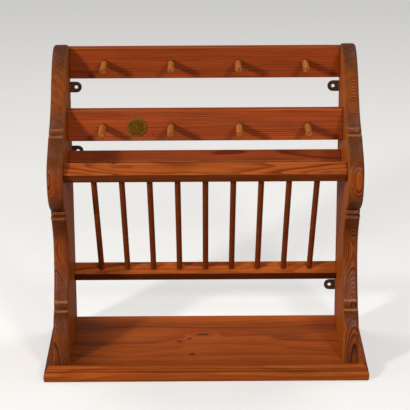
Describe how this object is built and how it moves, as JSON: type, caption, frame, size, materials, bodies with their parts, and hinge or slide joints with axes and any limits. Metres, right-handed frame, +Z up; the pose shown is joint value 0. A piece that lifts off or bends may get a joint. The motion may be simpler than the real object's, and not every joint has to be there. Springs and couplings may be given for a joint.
{
  "type": "wall plate rack",
  "caption": "Stained pine plate rack for a wall or worktop: scrolled side panels on a moulded base shelf, peg rails for mugs and a leaning row of dowels that parts the plates.",
  "frame": {"origin": "middle of the bounding box, on the floor that the base shelf stands on", "axes": "+X along the rack to the right as seen from the front, front faces -Y, back plane towards the wall at +Y, +Z up"},
  "size_m": [0.64, 0.278, 0.6185],
  "materials": {
    "pine_panel": "satin lacquer over reddish stain",
    "pine_shelf": "satin lacquer over reddish stain",
    "pine_rail": "satin lacquer over reddish stain",
    "pine_bar": "satin lacquer over reddish stain",
    "pine_turned": "satin lacquer",
    "antique_brass": "aged, dull",
    "bronzed_steel": "dark bronze, satin",
    "plain_steel": "bright"
  },
  "bodies": {
    "root": {"left_side": "pine_panel", "right_side": "pine_panel", "base_shelf": "pine_shelf", "upper_peg_rail": "pine_rail", "lower_peg_rail": "pine_rail", "upper_dowel_bar": "pine_bar", "lower_dowel_bar": "pine_bar", "back_bar": "pine_bar", "dowel_1": "pine_turned", "dowel_2": "pine_turned", "dowel_3": "pine_turned", "dowel_4": "pine_turned", "dowel_5": "pine_turned", "dowel_6": "pine_turned", "dowel_7": "pine_turned", "dowel_8": "pine_turned", "dowel_9": "pine_turned", "upper_peg_1": "pine_turned", "upper_peg_2": "pine_turned", "upper_peg_3": "pine_turned", "upper_peg_4": "pine_turned", "lower_peg_1": "pine_turned", "lower_peg_2": "pine_turned", "lower_peg_3": "pine_turned", "lower_peg_4": "pine_turned", "medallion": "antique_brass", "hanger_upper_left": "bronzed_steel", "hanger_middle_left": "bronzed_steel", "hanger_upper_right": "bronzed_steel", "hanger_lower_right": "bronzed_steel", "hanger_screws": "bronzed_steel", "joint_pins": "pine_turned", "base_screws": "plain_steel"}
  },
  "joints": []
}
